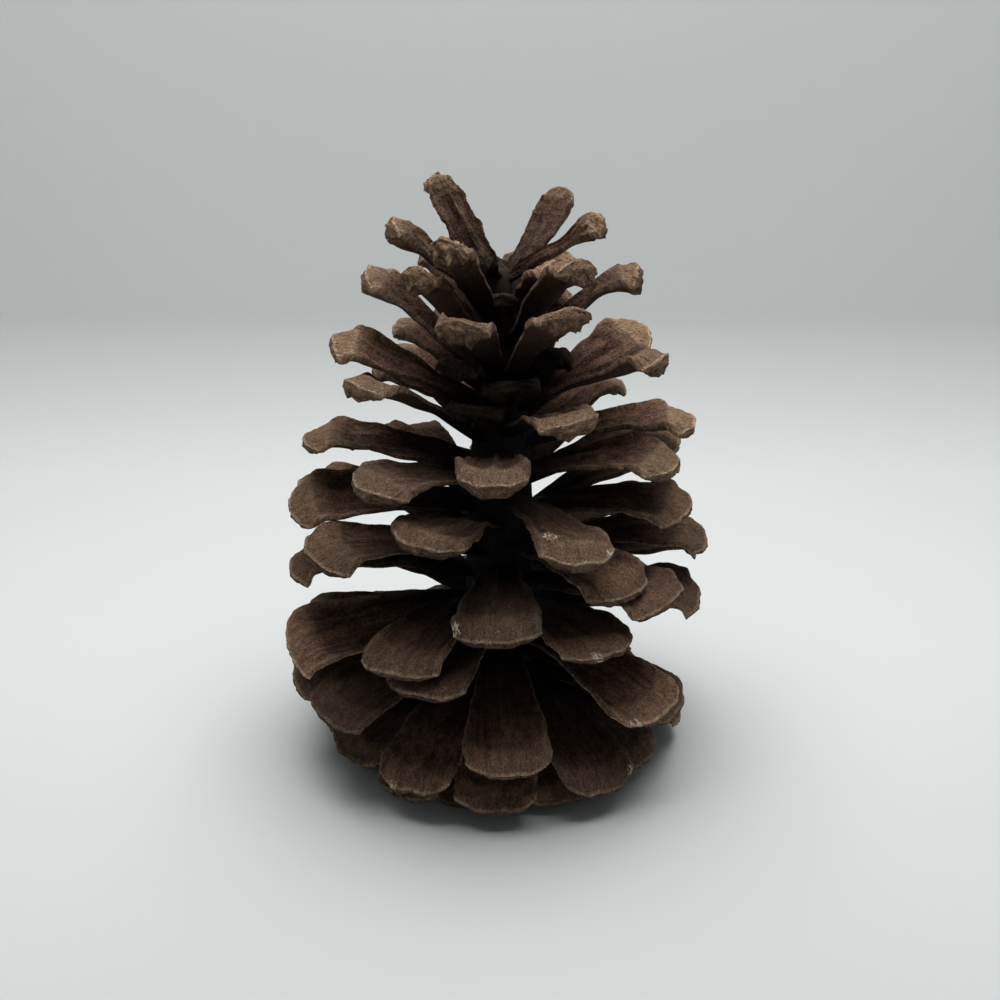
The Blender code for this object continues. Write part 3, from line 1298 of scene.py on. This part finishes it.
@dataclass(frozen=True)
class AxisFinish:
    """The fibrous wood of the axis and of the stalk's stub, painted near black as shade among the
    scales.

    Attributes:
        deep: its darkest colour, near black as painted shade.
        brown: its usual colour, near black as painted shade.
        bleached: the brown of the bare top.
        roughness: how dull it is.
        fibre_depth: depth of its fibres.
        lump_depth: depth of its lumps.
    """

    deep: Colour = (0.004, 0.003, 0.002, 1)
    brown: Colour = (0.016, 0.010, 0.007, 1)
    bleached: Colour = (0.060, 0.036, 0.024, 1)
    roughness: float = 0.9
    fibre_depth: float = 0.0004
    lump_depth: float = 0.0006

    def material(self) -> bpy.types.Material:
        """Builds the material, painted near black as shade among the scales and brown at the bare top.

        Returns:
            The material.
        """
        bench = Bench("axis_wood")
        coordinate = bench.tree.nodes.new("ShaderNodeTexCoord")
        place = coordinate.outputs["Object"]
        fibres = bench.noise(place, (1500, 1500, 120), 4)
        lumps = bench.noise(place, (260, 260, 260), 3)
        apart = bench.tree.nodes.new("ShaderNodeSeparateXYZ")
        bench.link(place, apart.inputs["Vector"])
        # Painted shade: the axis is near black where it lies among the scales
        wood = bench.mix(bench.span(fibres, 0.35, 0.65), self.deep, self.brown)
        top = bench.span(apart.outputs["Z"], 0.70 * HEIGHT, 0.85 * HEIGHT)
        bare = bench.math("MULTIPLY", top, bench.span(fibres, 0.3, 0.7, 0.4, 1.0))
        wood = bench.mix(bare, wood, self.bleached)
        bench.link(wood, bench.shader.inputs["Base Color"])
        bench.shader.inputs["Roughness"].default_value = self.roughness
        normal = bench.bump(lumps, self.lump_depth, bench.bump(fibres, self.fibre_depth))
        bench.link(normal, bench.shader.inputs["Normal"])
        return bench.material


@dataclass
class ScaleBand:
    """One stretch of the spiral, as one piece.

    Attributes:
        band: which stretch.
        finish: the scales' material.
    """

    band: Band
    finish: bpy.types.Material

    def build(self, blank: ScaleBlank) -> bpy.types.Object:
        """Shapes its scales and joins them.

        Args:
            blank: the unit bar.

        Returns:
            The piece.
        """
        scales = [Scale(number).build(blank) for number in self.band.numbers]
        deselect_all()
        for scale in scales:
            scale.select_set(True)
        bpy.context.view_layer.objects.active = scales[0]
        bpy.ops.object.join()
        piece = bpy.context.object
        piece.name = piece.data.name = self.band.piece
        bpy.ops.object.shade_smooth_by_angle(angle=math.radians(48))
        piece.data.materials.clear()
        piece.data.materials.append(self.finish)
        return piece


@dataclass
class Axis:
    """The woody axis, with the stalk's stub at its foot.

    Attributes:
        finish: its material.
        sides: points round its section.
        rings: rings along it.
        top_rings: rings on its upper end.
        unevenness: how far its skin lies from round, as a share of the radius.
    """

    finish: bpy.types.Material
    sides: int = 56
    rings: int = 120
    top_rings: int = 6
    unevenness: float = 0.10

    def radius_at(self, height: np.ndarray) -> np.ndarray:
        """How thick it is at a height.

        Args:
            height: the height, as a share of HEIGHT.

        Returns:
            The radius there, in metres.
        """
        roots = [(row[1], row[2]) for row in LEVELS[-2:0:-1]]
        heights, radii = zip(*AXIS_FOOT, *roots, *AXIS_TOP)
        return np.interp(height, heights, radii) * HEIGHT

    def build(self) -> bpy.types.Object:
        """Models the axis.

        Returns:
            The piece.
        """
        deselect_all()
        bpy.ops.mesh.primitive_cylinder_add(vertices=self.sides, radius=1, depth=1)
        axis = bpy.context.object
        axis.name = axis.data.name = "cone_axis"
        cut_rings(axis, self.rings)
        cap_rings(axis, self.top_rings)
        unit = coordinates(axis.data)
        share = np.clip(unit[:, 2] + 0.5, 0, 1)
        height = share * AXIS_TOP[-1][0]
        radius = self.radius_at(height)
        ring = np.hypot(unit[:, 0], unit[:, 1])
        lump = np.array([noise.noise(Vector((3 * x, 3 * y, 12 * z))) for x, y, z in unit])
        radius *= 1 + self.unevenness * lump
        places = np.stack([unit[:, 0] * radius, unit[:, 1] * radius, height * HEIGHT], axis=1)
        places[:, 2] += np.where(share > 0.999, (1 - ring) * 0.001, 0.0)
        place_vertices(axis.data, places)
        select_alone(axis)
        bpy.ops.object.shade_smooth_by_angle(angle=math.radians(60))
        axis.data.materials.append(self.finish)
        return axis


@dataclass(frozen=True)
class Lamp:
    """One soft, square light.

    Attributes:
        name: its name.
        place: where it hangs.
        aim: what it points at.
        size: the length of its sides.
        power: its power, in watts.
    """

    name: str
    place: tuple[float, float, float]
    aim: tuple[float, float, float]
    size: float
    power: float

    def hang(self) -> None:
        """Adds the light to the scene."""
        lamp = bpy.data.lights.new(self.name, "AREA")
        lamp.size = self.size
        lamp.energy = self.power
        light = bpy.data.objects.new(self.name, lamp)
        light.location = self.place
        towards = Vector(self.aim) - Vector(self.place)
        light.rotation_euler = towards.to_track_quat("-Z", "Y").to_euler()
        bpy.context.scene.collection.objects.link(light)


LAMPS = (
    Lamp("overhead", (0.0, 0.22, 1.2), (0.0, 0.0, 0.0), 1.2, 7.5),
    Lamp("backdrop", (0.0, 0.05, 0.60), (0.0, 0.26, 0.18), 0.5, 2.45),
)


@dataclass(frozen=True)
class Studio:
    """A seamless sweep of pale paper, two soft lights and the camera.

    Attributes:
        floor_back: how far back the floor reaches.
        floor_front: how far it reaches towards the camera.
        half_width: how far it reaches to each side.
        sweep_radius: how much of the corner between floor and wall is rounded off.
        wall_height: the wall's height.
        paper: the paper's colour.
        room: the colour of the room's own light.
        room_strength: the strength of that light.
        camera_distance: from the camera to what it looks at.
        camera_elevation: the camera's angle over the floor.
        look_at: what the camera looks at.
        lens: its focal length, in millimetres.
        sensor: its sensor's width, in millimetres.
    """

    floor_back: float = 0.235
    floor_front: float = -2.0
    half_width: float = 2.2
    sweep_radius: float = 0.05
    wall_height: float = 0.27
    paper: Colour = (0.730, 0.751, 0.745, 1)
    room: Colour = (0.90, 0.94, 0.95, 1)
    room_strength: float = 0.12
    camera_distance: float = 0.382
    camera_elevation: float = 22.5
    look_at: tuple[float, float, float] = (0.0, 0.0, 0.0663)
    lens: float = 54.0
    sensor: float = 36.0

    def on_fold(self, edge: bmesh.types.BMEdge) -> bool:
        """Whether an edge of the paper lies along the floor's back.

        Args:
            edge: the edge.

        Returns:
            True if it does.
        """
        back = Vector((0, self.floor_back, 0))
        return all((vert.co - back).yz.length < 1e-5 for vert in edge.verts)

    def sweep(self) -> bpy.types.Object:
        """Models the paper: a floor that curves up into a wall.

        Returns:
            The sweep.
        """
        deselect_all()
        bpy.ops.mesh.primitive_plane_add(size=1)
        paper = bpy.context.object
        paper.name = "paper_sweep"
        depth = self.floor_back - self.floor_front
        paper.scale = (2 * self.half_width, depth, 1)
        paper.location = (0, self.floor_front + depth / 2, 0)
        bpy.ops.object.transform_apply(location=True, rotation=False, scale=True)
        bpy.ops.object.mode_set(mode="EDIT")
        pick(paper, "EDGE", self.on_fold)
        rise = {"value": (0, 0, self.wall_height)}
        bpy.ops.mesh.extrude_region_move(TRANSFORM_OT_translate=rise)
        pick(paper, "EDGE", self.on_fold)
        bpy.ops.mesh.bevel(offset=self.sweep_radius, segments=24)
        bpy.ops.object.mode_set(mode="OBJECT")
        bpy.ops.object.shade_smooth()
        bench = Bench("studio_paper")
        bench.shader.inputs["Base Color"].default_value = self.paper
        bench.shader.inputs["Roughness"].default_value = 0.9
        bench.shader.inputs["Specular IOR Level"].default_value = 0.1
        bench.clear_from_behind()
        paper.data.materials.append(bench.material)
        return paper

    def lights(self) -> None:
        """Hangs the lamps and sets the room's own light."""
        for lamp in LAMPS:
            lamp.hang()
        world = bpy.data.worlds.new("room")
        world.use_nodes = True
        room = world.node_tree.nodes["Background"]
        room.inputs["Color"].default_value = self.room
        room.inputs["Strength"].default_value = self.room_strength
        bpy.context.scene.world = world
        bpy.context.scene.view_settings.view_transform = "Standard"

    def camera(self) -> None:
        """Sets the camera at the photograph's angle."""
        lens = bpy.data.cameras.new("camera")
        lens.lens = self.lens
        lens.sensor_width = self.sensor
        lens.clip_start = 0.01
        camera = bpy.data.objects.new("camera", lens)
        tilt = math.radians(self.camera_elevation)
        away = Vector((0, -math.cos(tilt), math.sin(tilt)))
        camera.location = Vector(self.look_at) + self.camera_distance * away
        camera.rotation_euler = (math.radians(90) - tilt, 0, 0)
        bpy.context.scene.collection.objects.link(camera)
        bpy.context.scene.camera = camera

    def build(self) -> None:
        """Sets up the whole studio."""
        self.sweep()
        self.lights()
        self.camera()


def report(piece: bpy.types.Object) -> None:
    """Says what a piece holds.

    Args:
        piece: the piece.
    """
    piece.data.calc_loop_triangles()
    LOG.info("%s: %d triangles", piece.name, len(piece.data.loop_triangles))


def main() -> None:
    """Builds the cone's pieces in order, and the studio round them."""
    logging.basicConfig(level=logging.INFO, format="%(name)s %(message)s")
    blank = ScaleBlank()
    blank.build()
    scale_wood = ScaleFinish().material()
    for band in Band:
        piece = ScaleBand(band, scale_wood).build(blank)
        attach(piece, BODY)
        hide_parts(NODE)
        report(piece)
    axis = Axis(AxisFinish().material()).build()
    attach(axis, BODY)
    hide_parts(NODE)
    report(axis)
    Studio().build()


if __name__ == "__main__":
    main()
